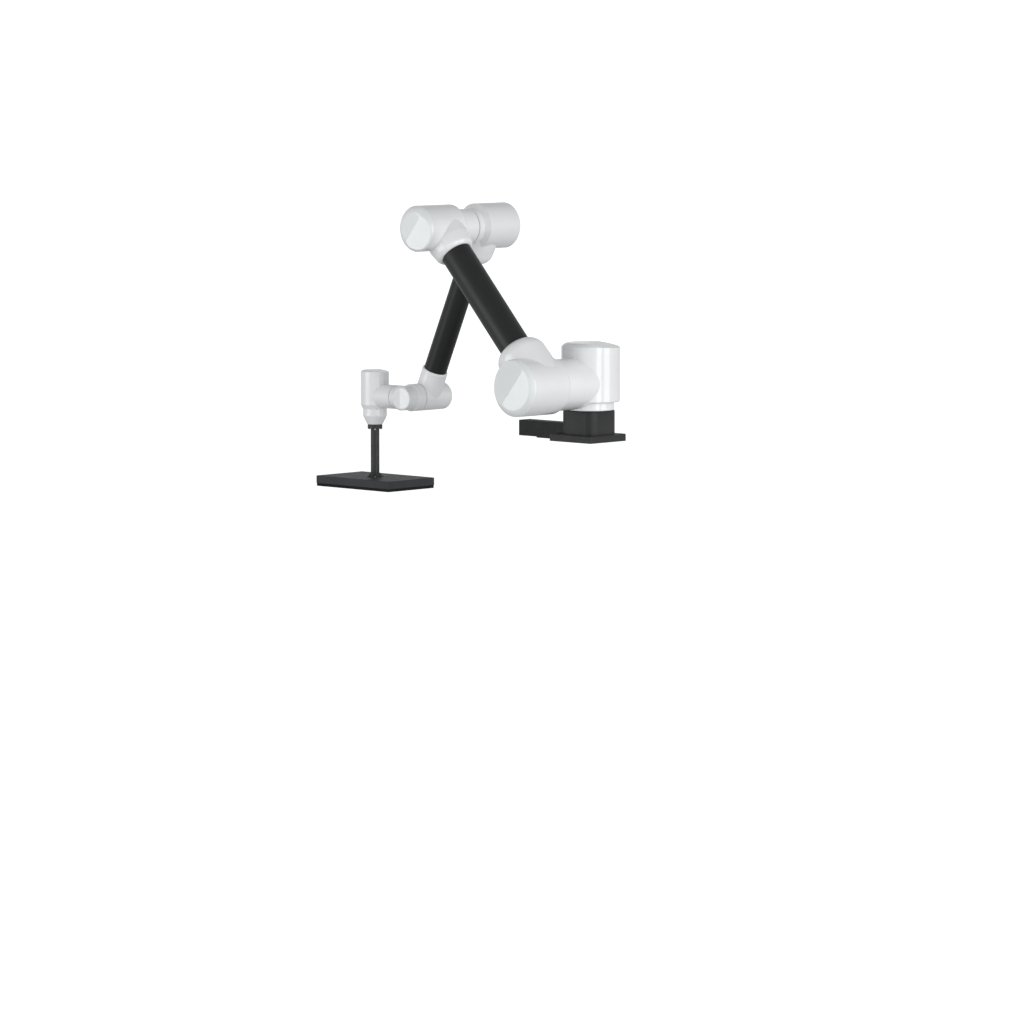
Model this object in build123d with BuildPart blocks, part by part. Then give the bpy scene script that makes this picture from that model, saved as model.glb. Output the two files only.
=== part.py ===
from build123d import *
import os
from math import cos, radians, sin, tan

os.makedirs("parts", exist_ok=True)

# Six-axis collaborative robot arm with a flat vacuum pad, as separate pieces. Millimetres, +Z up.
# The origin is where the first joint's axis meets the underside of the base plate. The arm reaches
# towards -X, and its shoulder stands off towards -Y.

# ---------------------------------------------------------------- driving dimensions
# links
SHOULDER_HEIGHT = 212.0        # joint 2 axis above the base plate's underside
UPPER_ARM = 734.5              # joint 2 to joint 3
FOREARM = 700.0                # joint 3 to joint 4
UPPER_TILT = 41.25             # upper arm from upright, towards -X, at rest
FORE_TILT = 24.0               # forearm from upright, towards -X, at rest
TUBE_TILT = 42.2               # the upper tube starts a little above joint 2 and meets joint 3
TUBE_RUN = 721.0               # from the upper tube's foot to joint 3
UPPER_SIDE = 280.5             # upper arm tube, towards -Y
FORE_SIDE = 62.5               # forearm tube, towards -Y
WRIST_SIDE = 159.5             # wrist and tool axis, towards -Y
WRIST_REACH = 174.0            # joint 4 axis to joint 6 axis
TOOL_TOP = 18.0                # height of joint 6's gap

# joint gaps, each measured from its joint's neighbour
GAP_1 = 113.0                  # height
GAP_2, GAP_3, GAP_4 = 211.0, 138.0, 110.0      # towards -Y
GAP_5 = 60.0                   # from joint 4's axis towards -X
GAP = 2.0                      # between two housings at a joint

# outer radii
BARREL_1, NECK_1 = 106.0, 85.5
BARREL_2, NECK_2 = 103.0, 93.0
BARREL_3, NECK_3 = 83.5, 65.0
BARREL_4, CAP_4 = 50.5, 45.0
BARREL_5 = 44.2
BARREL_6, NECK_6, NOSE_6 = 52.5, 44.5, 29.5
UPPER_TUBE, FORE_TUBE = 57.0, 42.5
WALL = 6.0                     # big housings
THIN_WALL = 5.0                # wrist housings
BULKHEAD = 8.0                 # plate that a gear output is bolted to
SEAT = 5.0                     # from a joint's gap to its bulkhead
LEAN, LEVEL = 9.5, 0.3         # slopes of the two planes on a cap's face, in degrees

# drives: outer radii of the gear rings and motors, and the recess each gear output is bolted in
RING_1, RING_2, RING_3, RING_4, RING_5, RING_6 = 77.0, 82.0, 62.0, 40.0, 36.5, 38.0
MOTOR_1, MOTOR_2, MOTOR_3, MOTOR_4, MOTOR_5, MOTOR_6 = 97.0, 96.0, 76.0, 45.0, 38.7, 47.5
RECESS_1, RECESS_2, RECESS_3, RECESS_4, RECESS_5 = 63.0, 79.0, 58.0, 43.0, 37.0
BORE = 0.34                    # cable bore as a share of the gear ring

# base
PLATE_BACK, PLATE_FRONT = -116.0, 89.0         # plate and casting run on towards the duct
PLATE_W, PLATE_T = 193.0, 26.0
BOLTS_X, BOLTS_Y, BOLT_HOLE = 150.0, 164.0, 11.0
FOOT_BACK, FOOT_FRONT = -87.0, 71.0
FOOT_W, FOOT_CORNER = 148.0, 36.0
DUCT_END, DUCT_W = -330.0, 56.0
DUCT_LOW, DUCT_HIGH = 4.0, 61.0

# tool
POST_R, COLLAR_R, FLANGE_R = 16.2, 23.5, 27.5
PAD_X, PAD_Y = 382.0, 242.0
PAD_TOP, PAD_JOIN, PAD_FACE = -177.0, -205.0, -216.0

# ---------------------------------------------------------------- joint places
arm_way = Vector(-sin(radians(UPPER_TILT)), 0, cos(radians(UPPER_TILT)))
fore_way = Vector(-sin(radians(FORE_TILT)), 0, -cos(radians(FORE_TILT)))
tube_way = Vector(-sin(radians(TUBE_TILT)), 0, cos(radians(TUBE_TILT)))
elbow = Vector(0, 0, SHOULDER_HEIGHT) + arm_way * UPPER_ARM
tube_foot = elbow - tube_way * TUBE_RUN
wrist = elbow + fore_way * FOREARM
tool_x = wrist.X - WRIST_REACH


def across(point, side):
    """The same point, moved to a distance `side` towards -Y."""
    return Vector(point.X, -side, point.Z)


shoulder_point = Vector(0, 0, SHOULDER_HEIGHT)
# each joint plane lies in the middle of its gap, and its z runs into the housing with the motor
joint_1 = Plane(origin=(0, 0, GAP_1), x_dir=(1, 0, 0), z_dir=(0, 0, 1))
joint_2 = Plane(origin=across(shoulder_point, GAP_2), x_dir=arm_way, z_dir=(0, -1, 0))
joint_3 = Plane(origin=across(elbow, GAP_3), x_dir=fore_way, z_dir=(0, 1, 0))
joint_4 = Plane(origin=across(wrist, GAP_4), x_dir=-fore_way, z_dir=(0, 1, 0))
joint_5 = Plane(origin=(wrist.X - GAP_5, -WRIST_SIDE, wrist.Z), x_dir=(0, 0, 1), z_dir=(-1, 0, 0))
joint_6 = Plane(origin=(tool_x, -WRIST_SIDE, TOOL_TOP), x_dir=(1, 0, 0), z_dir=(0, 0, 1))

# the elbow barrel and wrist 1 face the other way from the gap in their joints
elbow_side = Plane(origin=joint_3.origin, x_dir=arm_way, z_dir=(0, -1, 0))
wrist_1_side = Plane(origin=joint_4.origin, x_dir=(0, 0, 1), z_dir=(0, -1, 0))

# sockets of the two tubes
upper_low = Plane(origin=across(tube_foot, UPPER_SIDE), x_dir=(0, -1, 0), z_dir=tube_way)
upper_high = Plane(origin=across(elbow, UPPER_SIDE), x_dir=(0, -1, 0), z_dir=-tube_way)
fore_high = Plane(origin=across(elbow, FORE_SIDE), x_dir=(0, -1, 0), z_dir=fore_way)
fore_low = Plane(origin=across(wrist, FORE_SIDE), x_dir=(0, -1, 0), z_dir=-fore_way)


# ---------------------------------------------------------------- shape helpers
def save(piece, name):
    """Label a finished piece and write it."""
    piece.label = name
    export_step(piece, f"parts/{name}.step")


def turn(plane, points, mode=Mode.ADD):
    """Turn an outline of (radius, height) points about the plane's z axis."""
    half = Plane(origin=plane.origin, x_dir=plane.x_dir, z_dir=-plane.y_dir)
    with BuildSketch(half) as outline:
        Polygon(*points, align=None)
    revolve(outline.sketch, axis=Axis(plane.origin, plane.z_dir), mode=mode)


def drum(plane, radius, low, high, mode=Mode.ADD):
    """A plain round length between two heights on the plane's axis."""
    turn(plane, [(0, low), (radius, low), (radius, high), (0, high)], mode)


ROUND = 0.14                   # height of a rounded edge's bulge over its chord


def socket(plane, root, shoulder, shoulder_at, mouth, mouth_at):
    """A tube socket: nearly straight up to its shoulder, then rounded in to its mouth."""
    half = Plane(origin=plane.origin, x_dir=plane.x_dir, z_dir=-plane.y_dir)
    bulge = ((shoulder + mouth) / 2 + (mouth_at - shoulder_at) * ROUND,
             (shoulder_at + mouth_at) / 2 + (shoulder - mouth) * ROUND)
    with BuildSketch(half) as outline:
        with BuildLine():
            Polyline((shoulder, shoulder_at), (root, shoulder_at * 0.7), (root, 0), (0, 0),
                     (0, mouth_at), (mouth, mouth_at))
            ThreePointArc((mouth, mouth_at), bulge, (shoulder, shoulder_at))
        make_face()
    revolve(outline.sketch, axis=Axis(plane.origin, plane.z_dir))


def facet(plane, angle, radius, low, high, slopes):
    """Cut the part's end to two planes that meet in a ridge through the axis."""
    along = plane.x_dir * cos(radians(angle)) + plane.y_dir * sin(radians(angle))
    ridge = Plane(origin=plane.origin - along * radius, x_dir=plane.z_dir.cross(along), z_dir=along)
    left, right = (high - radius * tan(radians(s)) for s in slopes)
    with BuildSketch(ridge) as gable:
        Polygon((-radius, low), (radius, low), (radius, left), (0, high), (-radius, right),
                align=None)
    extrude(gable.sketch, amount=2 * radius, mode=Mode.INTERSECT)


def cover(name, plane, radius, low, high, rim, angle, slopes, wall):
    """A hollow end cap with a rounded rim and a two-plane face."""
    radial, axial = rim
    half = Plane(origin=plane.origin, x_dir=plane.x_dir, z_dir=-plane.y_dir)
    bulge = (radius - radial / 2 + axial * ROUND, high - axial / 2 + radial * ROUND)
    with BuildPart() as cap:
        with BuildSketch(half) as outline:
            with BuildLine():
                Polyline((radius, high - axial), (radius, low), (0, low), (0, high),
                         (radius - radial, high))
                ThreePointArc((radius - radial, high), bulge, (radius, high - axial))
            make_face()
        revolve(outline.sketch, axis=Axis(plane.origin, plane.z_dir))
        facet(plane, angle, radius * 1.2, low - 1, high, slopes)
        deepest = radius * tan(radians(max(slopes)))
        drum(plane, radius - wall, low - 1, high - max(deepest, axial) - wall, Mode.SUBTRACT)
    save(cap.part, name)


def drive(joint, plane, ring, motor, motor_at, motor_length, bearing=12.0, gear=18.0, lift=0.0,
          spindle=None):
    """The four pieces of one joint's drive. Radii: `ring` of the gear ring, `motor` of the stator.

    Heights run from the joint's gap into the motor's housing. The gear output reaches back to the
    bulkhead on the gap's other side, or through the nose as a spindle.
    """
    low = 4.0 + lift
    mesh = low + bearing
    top = mesh + gear
    race = 0.80 * ring             # bearing bore of the gear ring
    teeth = 0.70 * ring            # bore of the toothed part
    running = 0.05                 # radial clearance of a running fit
    cup = teeth - 0.4              # outside of the flexible cup
    cup_wall = 2.0
    bore = BORE * ring             # cable passage
    disc_low = lift - SEAT
    disc_high = lift + 3.0

    with BuildPart() as gear_ring:
        turn(plane, [(race, low), (ring, low), (ring, top), (teeth, top), (teeth, mesh), (race, mesh)])
        with Locations(plane):
            with Locations((0, 0, top)):
                with PolarLocations((ring + teeth) / 2, 12):
                    Hole(0.05 * ring, depth=gear * 0.6)
    save(gear_ring.part, f"{joint}_gear_ring")

    with BuildPart() as gear_output:
        turn(plane, [(bore, disc_low), (race - running, disc_low), (race - running, mesh - 1),
                     (cup, mesh - 1), (cup, top), (cup - cup_wall, top),
                     (cup - cup_wall, disc_high), (bore, disc_high)])
        if spindle:
            turn(plane, [(bore * 0.7, -1), (spindle, -1), (spindle, disc_low + 1),
                         (bore, disc_low + 1), (bore, disc_high), (bore * 0.7, disc_high)])
    save(gear_output.part, f"{joint}_gear_output")

    wave = cup - cup_wall - 0.6    # wave generator
    shaft_in, shaft_out = 0.20 * ring, 0.20 * ring + 4
    magnets = 0.58 * motor
    motor_end = motor_at + motor_length
    with BuildPart() as rotor:
        turn(plane, [(shaft_in, disc_high + 2), (shaft_out, disc_high + 2), (shaft_out, mesh + 2),
                     (wave, mesh + 2), (wave, top - 2), (shaft_out, top - 2), (shaft_out, motor_at),
                     (magnets, motor_at), (magnets, motor_end), (shaft_out, motor_end),
                     (shaft_out, motor_end + 12), (shaft_in, motor_end + 12)])
    save(rotor.part, f"{joint}_motor_rotor")

    air_gap = 0.6
    shield = 6.0
    with BuildPart() as stator:
        turn(plane, [(magnets + air_gap, motor_at), (motor, motor_at), (motor, motor_end + shield + 3),
                     (shaft_out + running, motor_end + shield + 3),
                     (shaft_out + running, motor_end + 3), (magnets + air_gap, motor_end + 3)])
    save(stator.part, f"{joint}_motor_stator")


def seal(joint, plane, recess):
    """The seal ring that fills a joint's gap, round the recess."""
    inner, outer = recess + 0.2, recess + 5
    with BuildPart() as ring:
        turn(plane, [(inner, -GAP / 2), (outer, -GAP / 2), (outer - 0.8, GAP / 2 - 0.3),
                     (inner, GAP / 2 - 0.3)])
    save(ring.part, f"{joint}_seal")


# ---------------------------------------------------------------- base
with BuildPart() as base_plate:
    with BuildSketch():
        with Locations(((PLATE_BACK + PLATE_FRONT) / 2, 0)):
            RectangleRounded(PLATE_FRONT - PLATE_BACK, PLATE_W, 8)
    extrude(amount=PLATE_T)
    chamfer(base_plate.faces().sort_by(Axis.Z)[-1].edges(), 2)
    with Locations((0, 0, PLATE_T)):
        with GridLocations(BOLTS_X, BOLTS_Y, 2, 2):
            CounterBoreHole(BOLT_HOLE / 2, 9, 11)
        Hole(40)
save(base_plate.part, "base_plate")

base_top = GAP_1 - GAP / 2
with BuildPart() as base_casting:
    with BuildSketch(Plane.XY.offset(PLATE_T)):
        with Locations(((FOOT_BACK + FOOT_FRONT) / 2, 0)):
            RectangleRounded(FOOT_FRONT - FOOT_BACK, FOOT_W, FOOT_CORNER)
    extrude(amount=base_top - PLATE_T)
    fillet(base_casting.faces().sort_by(Axis.Z)[-1].edges(), 3)
    drum(joint_1, RECESS_1, PLATE_T - GAP_1 - 1, -SEAT - BULKHEAD, Mode.SUBTRACT)
    drum(joint_1, BORE * RING_1, -SEAT - BULKHEAD - 1, 0, Mode.SUBTRACT)
    drum(joint_1, RECESS_1, -SEAT, 0, Mode.SUBTRACT)
save(base_casting.part, "base_casting")

duct_length = FOOT_BACK - DUCT_END
duct_middle = (DUCT_END + FOOT_BACK) / 2
DUCT_WALL = 3.0
with BuildPart() as cable_duct:
    with BuildSketch(Plane.XY.offset(DUCT_LOW)):
        with Locations((duct_middle, 0)):
            Rectangle(duct_length, DUCT_W)
    extrude(amount=DUCT_HIGH - DUCT_LOW - DUCT_WALL)
    with BuildSketch(Plane.XY.offset(DUCT_LOW + DUCT_WALL)):
        with Locations((duct_middle, 0)):
            Rectangle(duct_length - 2 * DUCT_WALL, DUCT_W - 2 * DUCT_WALL)
    extrude(amount=DUCT_HIGH, mode=Mode.SUBTRACT)
    # its end steps over the base plate
    with BuildSketch():
        with Locations((PLATE_BACK - 0.5, 0)):
            Rectangle(duct_length, DUCT_W, align=(Align.MIN, Align.CENTER))
    extrude(amount=PLATE_T + 0.4, mode=Mode.SUBTRACT)
save(cable_duct.part, "cable_duct")

with BuildPart() as cable_duct_lid:
    with BuildSketch(Plane.XY.offset(DUCT_HIGH - DUCT_WALL)):
        with Locations((duct_middle, 0)):
            Rectangle(duct_length, DUCT_W)
    extrude(amount=DUCT_WALL)
    chamfer(cable_duct_lid.faces().sort_by(Axis.Z)[-1].edges(), 1)
save(cable_duct_lid.part, "cable_duct_lid")

FOOT_PAD = 130.0               # length of the pad under the duct
with BuildPart() as cable_duct_foot:
    with BuildSketch():
        with Locations((PLATE_BACK - 1 - FOOT_PAD / 2, 0)):
            RectangleRounded(FOOT_PAD, DUCT_W - 6, 4)
    extrude(amount=DUCT_LOW)
save(cable_duct_foot.part, "cable_duct_foot")

seal("j1", joint_1, RECESS_1)
drive("j1", joint_1, ring=RING_1, motor=MOTOR_1, motor_at=60, motor_length=40, bearing=16, gear=22)

# ---------------------------------------------------------------- shoulder
STEP_1 = 31.0                  # neck height above the gap
SHOULDER_TOP = 357.0 - GAP_1
SHOULDER_SEAM = SHOULDER_TOP - 26
with BuildPart() as shoulder_housing:
    turn(joint_1, [(0, GAP / 2), (NECK_1 - 2, GAP / 2), (NECK_1, GAP / 2 + 2), (NECK_1, STEP_1),
                   (BARREL_1 - 3, STEP_1), (BARREL_1, STEP_1 + 3), (BARREL_1, SHOULDER_SEAM),
                   (0, SHOULDER_SEAM)])
    turn(joint_2, [(0, -GAP_2), (NECK_2, -GAP_2), (NECK_2, -4), (NECK_2 - 3, -GAP / 2),
                   (0, -GAP / 2)])
    drum(joint_1, RING_1, 0, STEP_1 + WALL + 1, Mode.SUBTRACT)
    drum(joint_1, BARREL_1 - WALL - 1, STEP_1 + WALL + 1, SHOULDER_SEAM + 1, Mode.SUBTRACT)
    drum(joint_2, NECK_2 - WALL - 1, -GAP_2, -SEAT - BULKHEAD, Mode.SUBTRACT)
    drum(joint_2, BORE * RING_2, -SEAT - BULKHEAD - 1, 0, Mode.SUBTRACT)
    drum(joint_2, RECESS_2, -SEAT, 0, Mode.SUBTRACT)
save(shoulder_housing.part, "shoulder_housing")
cover("shoulder_cap", joint_1, BARREL_1, SHOULDER_SEAM, SHOULDER_TOP, (34, 14), -65, (LEAN, LEVEL), 4)

seal("j2", joint_2, RECESS_2)
drive("j2", joint_2, ring=RING_2, motor=MOTOR_2, motor_at=48, motor_length=44, bearing=16, gear=22)

# ---------------------------------------------------------------- upper arm
LOWER_END = 412.0 - GAP_2
LOWER_SEAM = LOWER_END - 26
UPPER_SOCKET_DEPTH = 30.0      # how far a tube sits in its socket
LOW_MOUTH, HIGH_MOUTH = 154.0, 124.0
with BuildPart() as upper_arm_lower_housing:
    turn(joint_2, [(0, GAP / 2), (BARREL_2 - 7, GAP / 2), (BARREL_2, 9), (BARREL_2, LOWER_SEAM),
                   (0, LOWER_SEAM)])
    socket(upper_low, 94, 93, 104, 61.5, LOW_MOUTH)
    drum(joint_2, NECK_2 + GAP, -UPPER_SIDE, GAP / 2, Mode.SUBTRACT)
    drum(joint_2, RING_2, 0, 46, Mode.SUBTRACT)
    drum(joint_2, BARREL_2 - WALL - 1, 46, LOWER_SEAM + 1, Mode.SUBTRACT)
    drum(upper_low, UPPER_TUBE, LOW_MOUTH - UPPER_SOCKET_DEPTH, LOW_MOUTH + 1, Mode.SUBTRACT)
    drum(upper_low, UPPER_TUBE - WALL, 60, LOW_MOUTH, Mode.SUBTRACT)
save(upper_arm_lower_housing.part, "upper_arm_lower_housing")
# the ridge of each cap leans as the arm does, a little off square to the tube
RIDGE = -80.0
cover("upper_arm_lower_cap", joint_2, BARREL_2, LOWER_SEAM, LOWER_END, (30, 17), RIDGE,
      (LEAN, LEVEL), 4)

tube_low = LOW_MOUTH - UPPER_SOCKET_DEPTH
tube_high = TUBE_RUN - HIGH_MOUTH + UPPER_SOCKET_DEPTH
with BuildPart() as upper_arm_tube:
    turn(upper_low, [(UPPER_TUBE - WALL, tube_low), (UPPER_TUBE, tube_low), (UPPER_TUBE, tube_high),
                     (UPPER_TUBE - WALL, tube_high)])
save(upper_arm_tube.part, "upper_arm_tube")

ELBOW_START = 208.0 - GAP_3    # where the neck widens to the barrel
ELBOW_END = 420.0 - GAP_3
ELBOW_SEAM = ELBOW_END - 34
with BuildPart() as elbow_housing:
    turn(elbow_side, [(0, GAP / 2), (NECK_3 - 3, GAP / 2), (NECK_3, 4), (NECK_3, ELBOW_START),
                      (BARREL_3, ELBOW_START + 22), (BARREL_3, ELBOW_SEAM), (0, ELBOW_SEAM)])
    socket(upper_high, 79, 74, 104, 60.5, HIGH_MOUTH)
    drum(elbow_side, RECESS_3, 0, SEAT, Mode.SUBTRACT)
    drum(elbow_side, BORE * RING_3, 0, SEAT + BULKHEAD + 1, Mode.SUBTRACT)
    drum(elbow_side, NECK_3 - WALL, SEAT + BULKHEAD, ELBOW_START + 20, Mode.SUBTRACT)
    drum(elbow_side, BARREL_3 - WALL, ELBOW_START + 20, ELBOW_SEAM + 1, Mode.SUBTRACT)
    drum(upper_high, UPPER_TUBE, HIGH_MOUTH - UPPER_SOCKET_DEPTH, HIGH_MOUTH + 1, Mode.SUBTRACT)
    drum(upper_high, UPPER_TUBE - WALL, 50, HIGH_MOUTH, Mode.SUBTRACT)
save(elbow_housing.part, "elbow_housing")
cover("elbow_cap", elbow_side, BARREL_3, ELBOW_SEAM, ELBOW_END, (29, 20), RIDGE, (LEVEL, LEAN), 4)

seal("j3", elbow_side, RECESS_3)
drive("j3", joint_3, ring=RING_3, motor=MOTOR_3, motor_at=44, motor_length=38, bearing=13, gear=18)

# ---------------------------------------------------------------- forearm
FORE_END = GAP_3 + 67.0
FORE_SEAM = FORE_END - 26
FORE_HIGH_MOUTH, FORE_LOW_MOUTH = 134.0, 112.0
FORE_SOCKET_DEPTH = 26.0
with BuildPart() as forearm_upper_housing:
    turn(joint_3, [(0, GAP / 2), (NECK_3 - 3, GAP / 2), (NECK_3, 4), (NECK_3, 26), (BARREL_3, 38),
                   (BARREL_3, FORE_SEAM), (0, FORE_SEAM)])
    socket(fore_high, 73, 71, 92, 47, FORE_HIGH_MOUTH)
    drum(joint_3, NECK_3 + GAP, -FORE_SIDE, GAP / 2, Mode.SUBTRACT)
    drum(joint_3, RECESS_3 - 1, 0, 4, Mode.SUBTRACT)
    drum(joint_3, RING_3, 4, 40, Mode.SUBTRACT)
    drum(joint_3, BARREL_3 - WALL - 0.5, 40, FORE_SEAM + 1, Mode.SUBTRACT)
    drum(fore_high, FORE_TUBE, FORE_HIGH_MOUTH - FORE_SOCKET_DEPTH, FORE_HIGH_MOUTH + 1,
         Mode.SUBTRACT)
    drum(fore_high, FORE_TUBE - THIN_WALL, 50, FORE_HIGH_MOUTH, Mode.SUBTRACT)
save(forearm_upper_housing.part, "forearm_upper_housing")
cover("forearm_upper_cap", joint_3, BARREL_3, FORE_SEAM, FORE_END, (24, 14), 35, (LEAN, LEVEL), 4)

fore_tube_low = FORE_HIGH_MOUTH - FORE_SOCKET_DEPTH
fore_tube_high = FOREARM - FORE_LOW_MOUTH + FORE_SOCKET_DEPTH
with BuildPart() as forearm_tube:
    turn(fore_high, [(FORE_TUBE - THIN_WALL, fore_tube_low), (FORE_TUBE, fore_tube_low),
                     (FORE_TUBE, fore_tube_high), (FORE_TUBE - THIN_WALL, fore_tube_high)])
save(forearm_tube.part, "forearm_tube")

WRIST_END = GAP_4 + 29.0
WRIST_SEAM = WRIST_END - 22
with BuildPart() as forearm_wrist_housing:
    turn(joint_4, [(0, GAP / 2), (BARREL_4 - 2, GAP / 2), (BARREL_4, 3), (BARREL_4, WRIST_SEAM),
                   (0, WRIST_SEAM)])
    socket(fore_low, 48, 48, 100, 45.5, FORE_LOW_MOUTH)
    drum(joint_4, BARREL_4 + GAP, -FORE_SIDE, GAP / 2, Mode.SUBTRACT)
    drum(joint_4, RING_4, 0, 36, Mode.SUBTRACT)
    drum(joint_4, BARREL_4 - THIN_WALL, 36, WRIST_SEAM + 1, Mode.SUBTRACT)
    drum(fore_low, FORE_TUBE, FORE_LOW_MOUTH - FORE_SOCKET_DEPTH, FORE_LOW_MOUTH + 1, Mode.SUBTRACT)
    drum(fore_low, FORE_TUBE - THIN_WALL, 30, FORE_LOW_MOUTH, Mode.SUBTRACT)
save(forearm_wrist_housing.part, "forearm_wrist_housing")
with BuildPart() as forearm_wrist_cap:
    drum(joint_4, BARREL_4, WRIST_SEAM, WRIST_END)
    fillet(forearm_wrist_cap.faces().sort_by(Axis.Y)[-1].edges(), 13)
    drum(joint_4, BARREL_4 - THIN_WALL - 3, WRIST_SEAM - 1, WRIST_END - 10, Mode.SUBTRACT)
save(forearm_wrist_cap.part, "forearm_wrist_cap")

seal("j4", wrist_1_side, RECESS_4)
drive("j4", joint_4, ring=RING_4, motor=MOTOR_4, motor_at=38, motor_length=28, bearing=10, gear=14)

# ---------------------------------------------------------------- wrist 1
WRIST_1_SEAM = 152.0 - GAP_4
WRIST_1_END = 204.0 - GAP_4
with BuildPart() as wrist_1_housing:
    turn(wrist_1_side, [(0, GAP / 2), (BARREL_4 - 2, GAP / 2), (BARREL_4, 3),
                        (BARREL_4, WRIST_1_SEAM - 5), (CAP_4 + 0.5, WRIST_1_SEAM),
                        (0, WRIST_1_SEAM)])
    turn(joint_5, [(0, -GAP_5), (BARREL_5, -GAP_5), (BARREL_5, -2.5), (BARREL_5 - 1.5, -GAP / 2),
                   (0, -GAP / 2)])
    drum(wrist_1_side, RECESS_4, 0, SEAT, Mode.SUBTRACT)
    drum(wrist_1_side, BORE * RING_4, 0, SEAT + BULKHEAD + 1, Mode.SUBTRACT)
    drum(wrist_1_side, CAP_4 - THIN_WALL, SEAT + BULKHEAD, WRIST_1_SEAM + 50, Mode.SUBTRACT)
    drum(joint_5, BARREL_5 - THIN_WALL, -GAP_5, -SEAT - BULKHEAD, Mode.SUBTRACT)
    drum(joint_5, BORE * RING_5, -SEAT - BULKHEAD - 1, 0, Mode.SUBTRACT)
    drum(joint_5, RECESS_5, -SEAT, 0, Mode.SUBTRACT)
save(wrist_1_housing.part, "wrist_1_housing")

with BuildPart() as wrist_1_cap:
    turn(wrist_1_side, [(0, WRIST_1_SEAM), (CAP_4, WRIST_1_SEAM), (CAP_4, WRIST_1_END - 6),
                        (CAP_4 - 8, WRIST_1_END), (0, WRIST_1_END)])
    facet(wrist_1_side, 0, CAP_4 * 1.2, WRIST_1_SEAM - 1, WRIST_1_END, (2, 7))
    drum(wrist_1_side, CAP_4 - THIN_WALL, WRIST_1_SEAM - 1, WRIST_1_END - 10, Mode.SUBTRACT)
    # the rim is notched round the stub
    add(wrist_1_housing.part, mode=Mode.SUBTRACT)
save(wrist_1_cap.part, "wrist_1_cap")

seal("j5", joint_5, RECESS_5)
drive("j5", joint_5, ring=RING_5, motor=MOTOR_5, motor_at=28, motor_length=17, bearing=9, gear=12)

# ---------------------------------------------------------------- wrist 2
TUBE_5 = WRIST_REACH - GAP_5   # length from the gap to joint 6's axis
HEAD_LOW, HEAD_SEAM, HEAD_TOP = 74.0, 178.0, 203.0
SPINDLE = 20.0
with BuildPart() as wrist_2_housing:
    turn(joint_6, [(0, GAP / 2), (NOSE_6 - 1, GAP / 2), (NOSE_6, 2), (NECK_6 - 3, 26), (NECK_6, 34),
                   (NECK_6, 58), (BARREL_6, HEAD_LOW), (BARREL_6, HEAD_SEAM), (0, HEAD_SEAM)])
    turn(joint_5, [(0, GAP / 2), (BARREL_5 - 1.5, GAP / 2), (BARREL_5, 2.5), (BARREL_5, TUBE_5),
                   (0, TUBE_5)])
    drum(joint_6, SPINDLE + 0.05, 0, 30, Mode.SUBTRACT)
    drum(joint_6, 38, 28, HEAD_LOW + 4, Mode.SUBTRACT)
    drum(joint_6, BARREL_6 - THIN_WALL, HEAD_LOW + 4, HEAD_SEAM + 1, Mode.SUBTRACT)
    drum(joint_5, RING_5, 0, 26, Mode.SUBTRACT)
    drum(joint_5, BARREL_5 - THIN_WALL, 26, TUBE_5, Mode.SUBTRACT)
save(wrist_2_housing.part, "wrist_2_housing")
cover("wrist_2_cap", joint_6, BARREL_6, HEAD_SEAM, HEAD_TOP, (16, 7), -65, (LEAN, LEVEL), 3)

seal("j6", joint_6, SPINDLE + 0.2)
drive("j6", joint_6, ring=RING_6, motor=MOTOR_6, motor_at=80, motor_length=20, bearing=10, gear=14,
      lift=34, spindle=SPINDLE)

# ---------------------------------------------------------------- tool
flange_top = -GAP / 2
with BuildPart() as tool_flange:
    turn(joint_6, [(10, flange_top - 8), (FLANGE_R, flange_top - 8), (FLANGE_R, flange_top - 1),
                   (FLANGE_R - 1, flange_top), (10, flange_top)])
save(tool_flange.part, "tool_flange")

pad_top = PAD_TOP - TOOL_TOP
POST_FLANGE_T = 6.0
post_low, post_high = pad_top, flange_top - 8
COLLAR_H = 13.0
with BuildPart() as gripper_post:
    turn(joint_6, [(0, post_low), (POST_R, post_low), (POST_R, post_high - POST_FLANGE_T - 3),
                   (POST_R + 3, post_high - POST_FLANGE_T), (FLANGE_R, post_high - POST_FLANGE_T),
                   (FLANGE_R, post_high), (0, post_high)])
    drum(joint_6, POST_R - 3, post_low, post_high, Mode.SUBTRACT)
save(gripper_post.part, "gripper_post")

with BuildPart() as gripper_collar:
    turn(joint_6, [(POST_R + 0.1, pad_top), (COLLAR_R + 4, pad_top), (COLLAR_R + 4, pad_top + 4),
                   (COLLAR_R, pad_top + 5), (COLLAR_R, pad_top + COLLAR_H - 1),
                   (COLLAR_R - 1, pad_top + COLLAR_H), (POST_R + 0.1, pad_top + COLLAR_H)])
save(gripper_collar.part, "gripper_collar")

SCREW_R, SCREW_H = 3.5, 4.0
with BuildPart() as gripper_screws:
    for height, circle in ((post_high - POST_FLANGE_T - SCREW_H, 22.8), (pad_top, 33.0)):
        with BuildSketch(joint_6.offset(height)):
            with PolarLocations(circle, 4, start_angle=45):
                Circle(SCREW_R)
                RegularPolygon(1.7, 6, mode=Mode.SUBTRACT)
        extrude(amount=SCREW_H)
save(gripper_screws.part, "gripper_screws")

pad_centre = (tool_x, -WRIST_SIDE)
with BuildPart() as gripper_plate:
    with BuildSketch(Plane.XY.offset(PAD_JOIN)):
        with Locations(pad_centre):
            RectangleRounded(PAD_X, PAD_Y, 4)
    extrude(amount=PAD_TOP - PAD_JOIN)
    chamfer(gripper_plate.faces().sort_by(Axis.Z)[-1].edges(), 1.5)
    # shallow air chamber under the plate
    with BuildSketch(Plane.XY.offset(PAD_JOIN)):
        with Locations(pad_centre):
            RectangleRounded(PAD_X - 24, PAD_Y - 24, 3)
    extrude(amount=12, mode=Mode.SUBTRACT)
save(gripper_plate.part, "gripper_plate")

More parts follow.
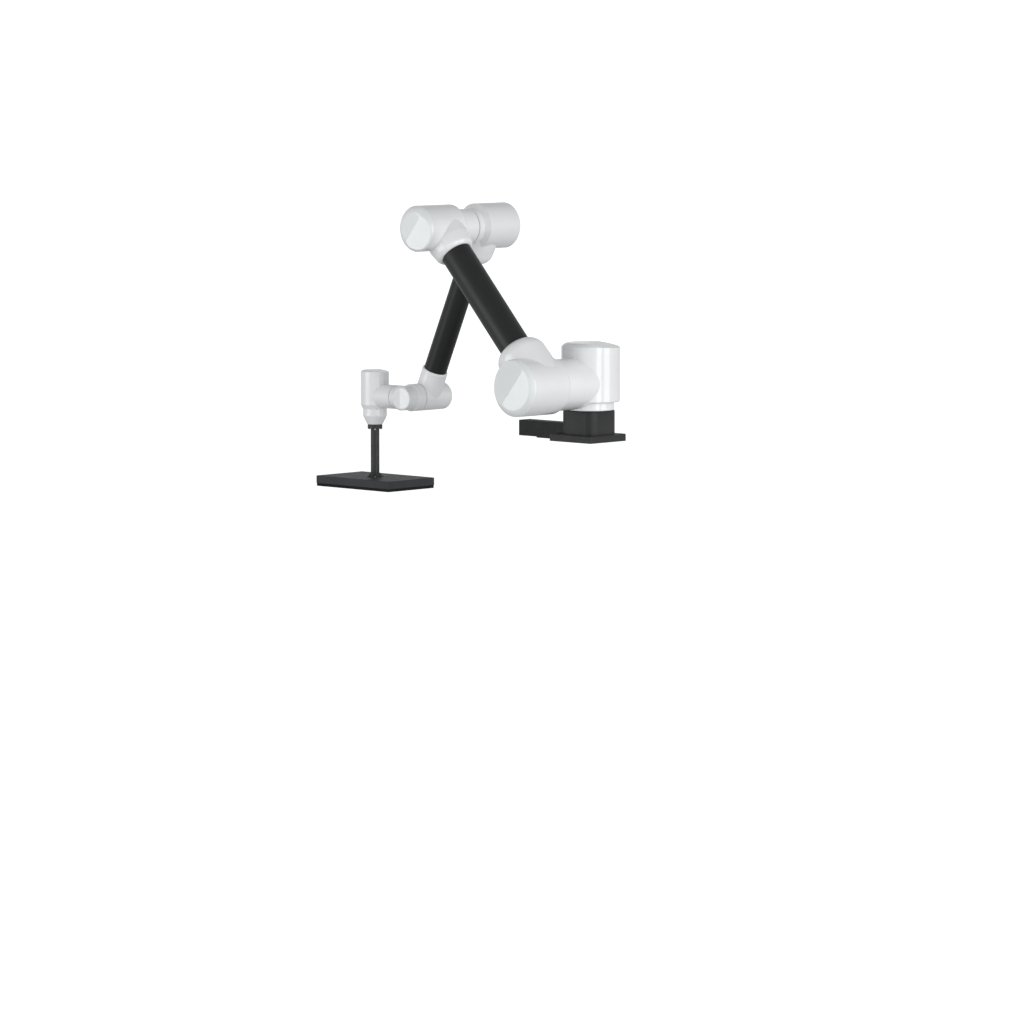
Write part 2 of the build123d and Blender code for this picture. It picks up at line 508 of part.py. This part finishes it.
SUCTION_COLUMNS, SUCTION_ROWS, SUCTION_R = 8, 6, 5.0
with BuildPart() as gripper_foam:
    with BuildSketch(Plane.XY.offset(PAD_FACE)):
        with Locations(pad_centre):
            RectangleRounded(PAD_X - 1, PAD_Y - 1, 4)
            with GridLocations(45, 38, SUCTION_COLUMNS, SUCTION_ROWS):
                Circle(SUCTION_R, mode=Mode.SUBTRACT)
    extrude(amount=PAD_JOIN - PAD_FACE)
save(gripper_foam.part, "gripper_foam")
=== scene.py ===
import math

import bmesh
import bpy
from mathutils import Matrix, Vector


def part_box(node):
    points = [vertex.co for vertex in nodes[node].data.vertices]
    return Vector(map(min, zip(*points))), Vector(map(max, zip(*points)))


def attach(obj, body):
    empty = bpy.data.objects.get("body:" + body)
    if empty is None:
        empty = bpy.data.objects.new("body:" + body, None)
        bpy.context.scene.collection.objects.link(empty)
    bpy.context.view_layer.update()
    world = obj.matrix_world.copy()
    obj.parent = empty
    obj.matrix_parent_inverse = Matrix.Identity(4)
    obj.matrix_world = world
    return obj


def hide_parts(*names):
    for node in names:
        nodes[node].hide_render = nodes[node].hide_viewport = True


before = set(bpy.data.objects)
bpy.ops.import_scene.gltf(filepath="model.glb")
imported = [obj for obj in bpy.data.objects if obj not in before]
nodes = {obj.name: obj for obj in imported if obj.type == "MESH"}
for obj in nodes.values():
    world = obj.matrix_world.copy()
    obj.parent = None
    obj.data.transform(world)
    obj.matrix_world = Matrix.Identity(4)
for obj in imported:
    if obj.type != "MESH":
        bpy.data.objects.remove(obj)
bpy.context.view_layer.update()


# ---------------------------------------------------------------- node helpers
class Graph:
    """A material's node tree, with short calls for the nodes used here."""

    def __init__(self, name):
        self.material = bpy.data.materials.new(name)
        self.material.use_nodes = True
        self.tree = self.material.node_tree
        self.tree.nodes.clear()
        self.out = self.tree.nodes.new("ShaderNodeOutputMaterial")
        self.shader = self.tree.nodes.new("ShaderNodeBsdfPrincipled")
        self.link(self.shader.outputs[0], self.out.inputs[0])
        self.place = self.add("ShaderNodeTexCoord").outputs["Object"]

    def add(self, kind, **settings):
        node = self.tree.nodes.new(kind)
        for key, value in settings.items():
            setattr(node, key, value)
        return node

    def link(self, a, b):
        self.tree.links.new(a, b)

    def put(self, socket, value):
        if isinstance(value, bpy.types.NodeSocket):
            self.link(value, socket)
        else:
            socket.default_value = value

    def scaled(self, scale, turn=None):
        node = self.add("ShaderNodeMapping")
        self.link(self.place, node.inputs["Vector"])
        node.inputs["Scale"].default_value = scale
        if turn:
            node.inputs["Rotation"].default_value = turn
        return node.outputs[0]

    def noise(self, scale, detail=3.0, rough=0.55, where=None):
        node = self.add("ShaderNodeTexNoise")
        self.link(where or self.place, node.inputs["Vector"])
        node.inputs["Scale"].default_value = scale
        node.inputs["Detail"].default_value = detail
        node.inputs["Roughness"].default_value = rough
        return node.outputs["Fac"]

    def cells(self, scale):
        node = self.add("ShaderNodeTexVoronoi")
        self.link(self.place, node.inputs["Vector"])
        node.inputs["Scale"].default_value = scale
        return node.outputs["Distance"]

    def math(self, op, a, b=0.0):
        node = self.add("ShaderNodeMath", operation=op)
        self.put(node.inputs[0], a)
        self.put(node.inputs[1], b)
        return node.outputs[0]

    def span(self, value, low, high, to_low, to_high):
        node = self.add("ShaderNodeMapRange", clamp=True)
        self.put(node.inputs["Value"], value)
        for key, number in (("From Min", low), ("From Max", high), ("To Min", to_low), ("To Max", to_high)):
            node.inputs[key].default_value = number
        return node.outputs[0]

    def mix(self, factor, a, b):
        node = self.add("ShaderNodeMix", data_type="RGBA")
        self.put(node.inputs[0], factor)
        self.put(node.inputs[6], a)
        self.put(node.inputs[7], b)
        return node.outputs[2]

    def bump(self, height, strength, distance, under=None):
        node = self.add("ShaderNodeBump")
        self.link(height, node.inputs["Height"])
        node.inputs["Strength"].default_value = strength
        node.inputs["Distance"].default_value = distance
        if under:
            self.link(under, node.inputs["Normal"])
        return node.outputs[0]

    def edge(self, low=0.52, high=0.6):
        """1 on convex edges, 0 on flat faces."""
        return self.span(self.add("ShaderNodeNewGeometry").outputs["Pointiness"], low, high, 0, 1)

    def finish(self, color, rough, normal=None, metallic=0.0, **fixed):
        self.put(self.shader.inputs["Base Color"], color)
        self.put(self.shader.inputs["Roughness"], rough)
        self.shader.inputs["Metallic"].default_value = metallic
        if normal:
            self.link(normal, self.shader.inputs["Normal"])
        for key, value in fixed.items():
            self.shader.inputs[key.replace("_", " ")].default_value = value
        return self.material


def grey(level, tint=(1, 1, 1)):
    """A grey, slightly tinted, as a linear color with alpha."""
    return (level * tint[0], level * tint[1], level * tint[2], 1)


# ---------------------------------------------------------------- materials
GRAIN_DEPTH, STREAK_DEPTH, PEEL_DEPTH = 0.0002, 0.0003, 0.0004
PORE_DEPTH, DIMPLE_DEPTH = 0.0008, 0.001
RING_RATE = 9000               # tool rings on turned steel: radians of ripple in each metre
UPPER_LEAN, FORE_LEAN = math.radians(42.2), math.radians(-24.0)


def paint(name, light, dark, worn, orange_peel, rough, coat, shine=0.5):
    """Sprayed satin paint on a casting: orange peel, faint handling marks and duller edges."""
    g = Graph(name)
    soft = g.noise(scale=9, detail=4)
    fine = g.noise(scale=900, detail=2)
    marks = g.noise(scale=60, detail=5, rough=0.7, where=g.scaled((1, 1, 3)))
    tone = g.mix(g.span(soft, 0.35, 0.65, 0, 1), light, dark)
    tone = g.mix(g.math("MULTIPLY", g.edge(), 0.35), tone, worn)
    dull = g.math("ADD", g.span(soft, 0.3, 0.7, rough - 0.04, rough + 0.05),
                  g.span(marks, 0.58, 0.75, 0, 0.08))
    skin = g.bump(g.noise(scale=420, detail=1.5), orange_peel, PEEL_DEPTH)
    skin = g.bump(fine, 0.05, GRAIN_DEPTH, skin)
    return g.finish(tone, dull, skin, Specular_IOR_Level=shine, Coat_Weight=coat, Coat_Roughness=0.09)


def anodised(name, light, dark, along, rough, shine):
    """Drawn and anodised tube: fine streaks along it over a soft mottle."""
    g = Graph(name)
    streaks = g.noise(scale=1, detail=4, rough=0.6, where=g.scaled(*along))
    mottle = g.noise(scale=14, detail=3)
    tone = g.mix(g.span(streaks, 0.35, 0.7, 0, 1), dark, light)
    tone = g.mix(g.span(mottle, 0.4, 0.7, 0, 0.35), tone, light)
    dull = g.math("ADD", g.span(streaks, 0.3, 0.7, rough - 0.05, rough + 0.07),
                  g.span(mottle, 0.3, 0.7, -0.03, 0.03))
    return g.finish(tone, dull, g.bump(streaks, 0.12, STREAK_DEPTH), Specular_IOR_Level=shine)


def moulded(name, light, dark, grain=1400, rough=0.5, depth=0.18):
    """Moulded plastic or rubber with a fine spark-eroded grain."""
    g = Graph(name)
    soft = g.noise(scale=7, detail=3)
    tone = g.mix(g.span(soft, 0.35, 0.65, 0, 1), light, dark)
    dull = g.span(g.noise(scale=40, detail=4), 0.3, 0.7, rough - 0.05, rough + 0.06)
    skin = g.bump(g.cells(grain), depth, GRAIN_DEPTH)
    return g.finish(tone, dull, skin, Specular_IOR_Level=0.27)


def turned(name, color, dark, centre, axis, rough=0.3):
    """Machined metal with tool rings about an axis."""
    g = Graph(name)
    shift = g.add("ShaderNodeVectorMath", operation="SUBTRACT")
    g.link(g.place, shift.inputs[0])
    shift.inputs[1].default_value = centre
    flat = g.add("ShaderNodeVectorMath", operation="MULTIPLY")
    g.link(shift.outputs[0], flat.inputs[0])
    flat.inputs[1].default_value = [0 if k == axis else 1 for k in range(3)]
    length = g.add("ShaderNodeVectorMath", operation="LENGTH")
    g.link(flat.outputs[0], length.inputs[0])
    rings = g.math("SINE", g.math("MULTIPLY", length.outputs["Value"], RING_RATE))
    wear = g.noise(scale=30, detail=4)
    tone = g.mix(g.span(wear, 0.3, 0.7, 0, 1), color, dark)
    dull = g.span(wear, 0.3, 0.7, rough, rough + 0.15)
    return g.finish(tone, dull, g.bump(rings, 0.1, GRAIN_DEPTH), metallic=1.0)


def foam(name, light, dark):
    """Closed-cell foam: open pores in a matt skin, each pore coloured darker as painted shade."""
    g = Graph(name)
    pores = g.cells(scale=520)
    large = g.cells(scale=170)
    soft = g.noise(scale=12, detail=3)
    # painted shade: the colour is darker towards each pore's middle, standing in for the shade inside the
    # pores
    tone = g.mix(g.span(pores, 0.15, 0.5, 0, 1), dark, light)
    tone = g.mix(g.span(soft, 0.35, 0.7, 0, 0.5), tone, dark)
    skin = g.bump(pores, 0.6, PORE_DEPTH, g.bump(large, 0.35, DIMPLE_DEPTH))
    return g.finish(tone, 0.88, skin, Specular_IOR_Level=0.15)


WHITE_TINT, COOL, COOLER = (0.985, 0.995, 1), (0.97, 0.99, 1), (0.95, 0.99, 1.08)
white = paint("white_casting_paint", light=grey(0.80, WHITE_TINT), dark=grey(0.765, (0.985, 0.99, 1)),
              worn=grey(0.68), orange_peel=0.05, rough=0.34, coat=0.9)
cap = paint("white_cap_gloss", light=grey(0.78, (0.98, 1, 0.995)), dark=grey(0.75, (0.98, 0.995, 1)),
            worn=grey(0.70), orange_peel=0.03, rough=0.30, coat=1.0)
black = paint("black_casting_paint", light=grey(0.017, COOL), dark=grey(0.011), worn=grey(0.035),
              orange_peel=0.16, rough=0.46, coat=0.0, shine=0.3)
duct = moulded("duct_plastic_black", light=grey(0.011), dark=grey(0.007), rough=0.55)
# painted light and shade: the two tubes share one black anodised finish set in two tones, and the forearm
# tube's darker tone is painted shade
upper_tube = anodised("upper_tube_black", light=grey(0.020, (0.98, 1, 1.02)), dark=grey(0.013),
                      along=((900, 900, 6), (0, UPPER_LEAN, 0)), rough=0.40, shine=0.30)
fore_tube = anodised("fore_tube_black_painted_shade", light=grey(0.011, (0.98, 1, 1.02)), dark=grey(0.008),
                     along=((900, 900, 6), (0, FORE_LEAN, 0)), rough=0.40, shine=0.28)
seal = moulded("seal_grey_rubber", light=grey(0.30), dark=grey(0.24), rough=0.7, depth=0.1)
tool = anodised("tool_black_anodised", light=grey(0.020, (0.97, 1, 1.04)), dark=grey(0.013),
                along=((300, 300, 8),), rough=0.38, shine=0.4)
plate = moulded("pad_plate_black", light=grey(0.034, COOLER), dark=grey(0.026, COOLER),
                grain=1600, rough=0.5, depth=0.12)
pad_foam = foam("pad_foam_dark", light=grey(0.016, (0.97, 0.99, 1.04)), dark=grey(0.007))

looks = {
    "base_plate": black, "base_casting": black,
    "cable_duct": duct, "cable_duct_lid": duct, "cable_duct_foot": duct,
    "upper_arm_tube": upper_tube, "forearm_tube": fore_tube,
    "tool_flange": tool, "gripper_post": tool, "gripper_collar": tool,
    "gripper_plate": plate, "gripper_foam": pad_foam,
}
families = {"_housing": white, "_cap": cap, "_seal": seal}
# light and dark tone of each kind of metal piece
METALS = {
    "gear": ((0.55, 0.55, 0.56, 1), (0.42, 0.42, 0.43, 1)),
    "rotor": ((0.40, 0.41, 0.43, 1), (0.28, 0.29, 0.31, 1)),
    "stator": ((0.30, 0.16, 0.08, 1), (0.20, 0.10, 0.05, 1)),
    "screws": ((0.30, 0.30, 0.31, 1), (0.2, 0.2, 0.21, 1)),
}
X_AXIS, Y_AXIS, Z_AXIS = 0, 1, 2
TURNED_ABOUT = {"1": Z_AXIS, "5": X_AXIS, "6": Z_AXIS}     # by joint number; the others lie along Y


def metal(name):
    """Turned metal for a drive's piece or the screws, centred on the piece itself."""
    low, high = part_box(name)
    centre = [(a + b) / 2 for a, b in zip(low, high)]
    kind = next(k for k in METALS if k in name)
    return turned(name + "_metal", *METALS[kind], centre, TURNED_ABOUT.get(name[1], Y_AXIS))


for name, obj in nodes.items():
    look = looks.get(name) or next((m for end, m in families.items() if name.endswith(end)), None)
    look = look or metal(name)
    for slot in obj.material_slots:
        slot.material = look


# ---------------------------------------------------------------- foam face
def pad_outline(half, corner, steps=8):
    """A rounded rectangle's points, counter-clockwise from its first corner."""
    points = []
    for cx, cy, start in ((1, 1, 0), (-1, 1, 90), (-1, -1, 180), (1, -1, 270)):
        for k in range(steps + 1):
            turn = math.radians(start + 90 * k / steps)
            points.append((cx * (half.x - corner) + corner * math.cos(turn),
                           cy * (half.y - corner) + corner * math.sin(turn)))
    return points


def round_hole(x, y, radius, steps=24):
    """A circle's points, clockwise so that it cuts a hole."""
    turns = [2 * math.pi * k / steps for k in range(steps)]
    return [(x + radius * math.cos(turn), y - radius * math.sin(turn)) for turn in turns]


def pad():
    """The foam face: a soft-edged sheet with its suction holes open right through."""
    soft, corner = 0.0016, 0.006               # radius of its edges and of its corners
    columns, rows = 8, 6                       # suction holes
    pitch_x, pitch_y, hole = 0.045, 0.038, 0.005
    low, high = (Vector(v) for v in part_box("gripper_foam"))
    centre, half = (low + high) / 2, (high - low) / 2
    curve = bpy.data.curves.new("pad_outline", "CURVE")
    curve.dimensions = "2D"
    curve.fill_mode = "BOTH"
    curve.extrude = half.z - soft
    curve.bevel_depth = soft
    curve.bevel_resolution = 3
    curve.offset = -soft
    curve.resolution_u = 6

    def loop(points):
        spline = curve.splines.new("POLY")
        spline.points.add(len(points) - 1)
        for point, (x, y) in zip(spline.points, points):
            point.co = (x, y, 0, 1)
        spline.use_cyclic_u = True

    loop(pad_outline(half, corner))
    for i in range(columns):
        for j in range(rows):
            loop(round_hole((i - (columns - 1) / 2) * pitch_x, (j - (rows - 1) / 2) * pitch_y, hole))
    shaper = bpy.data.objects.new("pad_outline", curve)
    bpy.context.scene.collection.objects.link(shaper)
    bpy.context.view_layer.update()
    mesh = bpy.data.meshes.new_from_object(shaper.evaluated_get(bpy.context.evaluated_depsgraph_get()))
    bpy.data.objects.remove(shaper)
    mesh.transform(Matrix.Translation(centre))
    mesh.shade_smooth()
    mesh.set_sharp_from_angle(angle=math.radians(50))
    mesh.materials.clear()
    mesh.materials.append(pad_foam)
    piece = bpy.data.objects.new("pad_foam_face", mesh)
    bpy.context.scene.collection.objects.link(piece)
    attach(piece, "tool")
    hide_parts("gripper_foam")


pad()

# ---------------------------------------------------------------- camera
CAMERA_AZIMUTH, CAMERA_ELEVATION = math.radians(43.66), math.radians(5.58)
CAMERA_PLACE = (12.6121, -13.6269, 1.5562)
LENS, SENSOR = 181.336, 36                     # millimetres

back = Vector((math.sin(CAMERA_AZIMUTH) * math.cos(CAMERA_ELEVATION),
               -math.cos(CAMERA_AZIMUTH) * math.cos(CAMERA_ELEVATION),
               math.sin(CAMERA_ELEVATION)))
right = Vector((math.cos(CAMERA_AZIMUTH), math.sin(CAMERA_AZIMUTH), 0))
up = back.cross(right)
camera_data = bpy.data.cameras.new("camera")
camera = bpy.data.objects.new("camera", camera_data)
bpy.context.scene.collection.objects.link(camera)
axes = Matrix((right, up, back)).transposed().to_4x4()
camera.matrix_world = Matrix.Translation(CAMERA_PLACE) @ axes
camera_data.sensor_width = SENSOR
camera_data.lens = LENS
camera_data.clip_end = 100
bpy.context.scene.camera = camera

# ---------------------------------------------------------------- floor and light
FLOOR_HEIGHT = -1.171          # where the arm's cabinet would stand
FLOOR_GLOW = 0.68
FRONT_EDGE, BEND_START, BEND, WALL_TOP, HALF_WIDTH = -30.0, 9.0, 5.0, 30.0, 40
BEND_STEPS = 12


def stage_floor():
    """A pale floor that sweeps up into a wall behind the arm."""
    mesh = bpy.data.meshes.new("studio_floor")
    shape = bmesh.new()
    away = -back.copy()
    away.z = 0
    away.normalize()
    profile = [(FRONT_EDGE, 0.0), (BEND_START, 0.0)]
    for k in range(1, BEND_STEPS + 1):
        turn = math.pi / 2 * k / BEND_STEPS
        profile.append((BEND_START + BEND * math.sin(turn), BEND - BEND * math.cos(turn)))
    profile.append((BEND_START + BEND, WALL_TOP))
    rows = []
    for run, rise in profile:
        middle = away * run + Vector((0, 0, FLOOR_HEIGHT + rise))
        rows.append([shape.verts.new(middle + right * across) for across in (-HALF_WIDTH, HALF_WIDTH)])
    for low, high in zip(rows, rows[1:]):
        shape.faces.new((low[0], low[1], high[1], high[0]))
    shape.to_mesh(mesh)
    shape.free()
    mesh.shade_smooth()
    floor = bpy.data.objects.new("studio_floor", mesh)
    bpy.context.scene.collection.objects.link(floor)
    floor.visible_diffuse = False
    floor.visible_glossy = False
    g = Graph("studio_floor_pale")
    tone = g.mix(g.span(g.noise(scale=0.8, detail=2), 0.3, 0.7, 0, 1), grey(0.80), grey(0.79))
    g.shader.inputs["Emission Color"].default_value = (1, 1, 1, 1)
    g.shader.inputs["Emission Strength"].default_value = FLOOR_GLOW
    mesh.materials.append(g.finish(tone, 0.9, Specular_IOR_Level=0.0))


stage_floor()

# light from all round, as (place along the ramp, grey level)
SKY_STRENGTH = 0.95
SKY_TINT = (0.985, 0.995, 1)
BY_HEIGHT = [(0.0, 0.34), (0.35, 0.50), (0.5, 0.80), (0.62, 0.66), (0.8, 0.44), (1.0, 0.40)]
BY_FACING = [(0.0, 1.04), (0.42, 1.0), (0.54, 1.70), (1.0, 1.70)]
WALL_WAY = (0.687, -0.727, 0)  # the side that the arm is seen from

world = bpy.data.worlds.new("studio")
bpy.context.scene.world = world
world.use_nodes = True
sky = world.node_tree
backdrop = sky.nodes["Background"]
direction = sky.nodes.new("ShaderNodeTexCoord").outputs["Generated"]


def sky_ramp(value, low, high, stops):
    """Grey levels along a value, as a color ramp."""
    lift = sky.nodes.new("ShaderNodeMapRange")
    lift.inputs["From Min"].default_value = low
    lift.inputs["From Max"].default_value = high
    sky.links.new(value, lift.inputs["Value"])
    ramp = sky.nodes.new("ShaderNodeValToRGB")
    while len(ramp.color_ramp.elements) < len(stops):
        ramp.color_ramp.elements.new(0.5)
    for element, (place, level) in zip(ramp.color_ramp.elements, stops):
        element.position = place
        element.color = grey(level, SKY_TINT)
    sky.links.new(lift.outputs[0], ramp.inputs[0])
    return ramp.outputs[0]


# brightest near the horizon, duller overhead and underneath
split = sky.nodes.new("ShaderNodeSeparateXYZ")
sky.links.new(direction, split.inputs[0])
height = sky_ramp(split.outputs["Z"], -1, 1, BY_HEIGHT)
# a wide pale wall stands on the side the arm is seen from
wall = sky.nodes.new("ShaderNodeVectorMath")
wall.operation = "DOT_PRODUCT"
sky.links.new(direction, wall.inputs[0])
wall.inputs[1].default_value = WALL_WAY
facing = sky_ramp(wall.outputs["Value"], 0.5, 1, BY_FACING)
both = sky.nodes.new("ShaderNodeMix")
both.data_type = "RGBA"
both.blend_type = "MULTIPLY"
both.inputs[0].default_value = 1
sky.links.new(height, both.inputs[6])
sky.links.new(facing, both.inputs[7])
sky.links.new(both.outputs[2], backdrop.inputs[0])
backdrop.inputs[1].default_value = SKY_STRENGTH


def lamp(name, place, size, power):
    """An area light aimed at the middle of the arm."""
    data = bpy.data.lights.new(name, "AREA")
    data.shape = "RECTANGLE"
    data.size, data.size_y = size
    data.energy = power
    obj = bpy.data.objects.new(name, data)
    bpy.context.scene.collection.objects.link(obj)
    obj.location = place
    way = ARM_MIDDLE - Vector(place)
    obj.rotation_euler = way.to_track_quat("-Z", "Y").to_euler()


ARM_MIDDLE = Vector((-0.45, -0.15, 0.35))
lamp("key_strip", place=(3.6, -0.9, 0.7), size=(1.2, 3.0), power=34)
lamp("side_fill", place=(4.0, 1.4, 0.6), size=(2.0, 3.0), power=50)
lamp("left_fill", place=(-2.4, -4.6, 0.5), size=(3.0, 3.0), power=60)

bpy.context.scene.view_settings.view_transform = "Standard"
